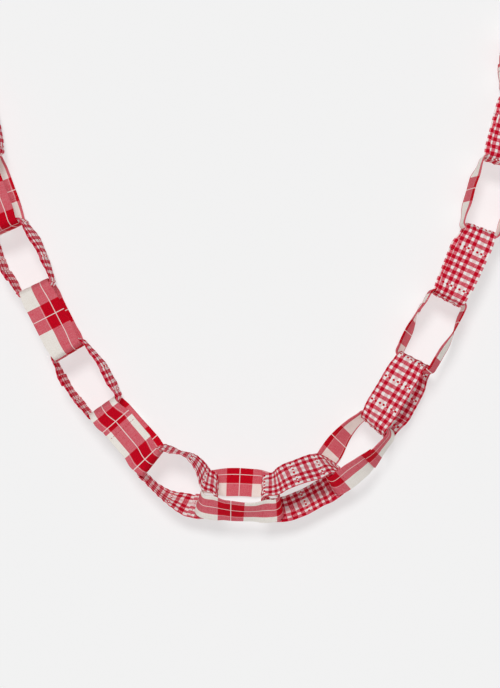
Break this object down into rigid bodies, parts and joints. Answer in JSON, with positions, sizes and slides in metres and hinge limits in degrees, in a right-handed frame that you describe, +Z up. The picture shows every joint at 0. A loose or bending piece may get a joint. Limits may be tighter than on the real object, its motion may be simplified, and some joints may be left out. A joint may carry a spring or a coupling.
{
  "type": "fabric chain garland",
  "caption": "Garland of interlocked woven cotton loops in a large check and a small gingham, lying in a swag, for hanging as a decoration.",
  "frame": {"origin": "centre of the bounding box in plan, on the surface that the garland lies on", "axes": "+Z up, square to the surface; +X to the right along the swag; +Y towards the swag's open top, where its two ends are"},
  "size_m": [0.5778, 0.491, 0.0536],
  "materials": {
    "large_check": "yarn-dyed plain weave cotton, crimson and cream large check with a fine white line, matte",
    "small_gingham": "puckered plain weave cotton, crimson and white small gingham with raised dobby dots, matte"
  },
  "bodies": {
    "root": {"small_gingham_link_01": "small_gingham", "large_check_link_01": "large_check", "small_gingham_link_02": "small_gingham", "large_check_link_02": "large_check", "small_gingham_link_03": "small_gingham", "large_check_link_03": "large_check", "small_gingham_link_04": "small_gingham", "large_check_link_04": "large_check", "small_gingham_link_05": "small_gingham", "large_check_link_05": "large_check", "small_gingham_link_06": "small_gingham", "large_check_link_06": "large_check", "small_gingham_link_07": "small_gingham", "large_check_link_07": "large_check", "small_gingham_link_08": "small_gingham", "large_check_link_08": "large_check"}
  },
  "joints": []
}
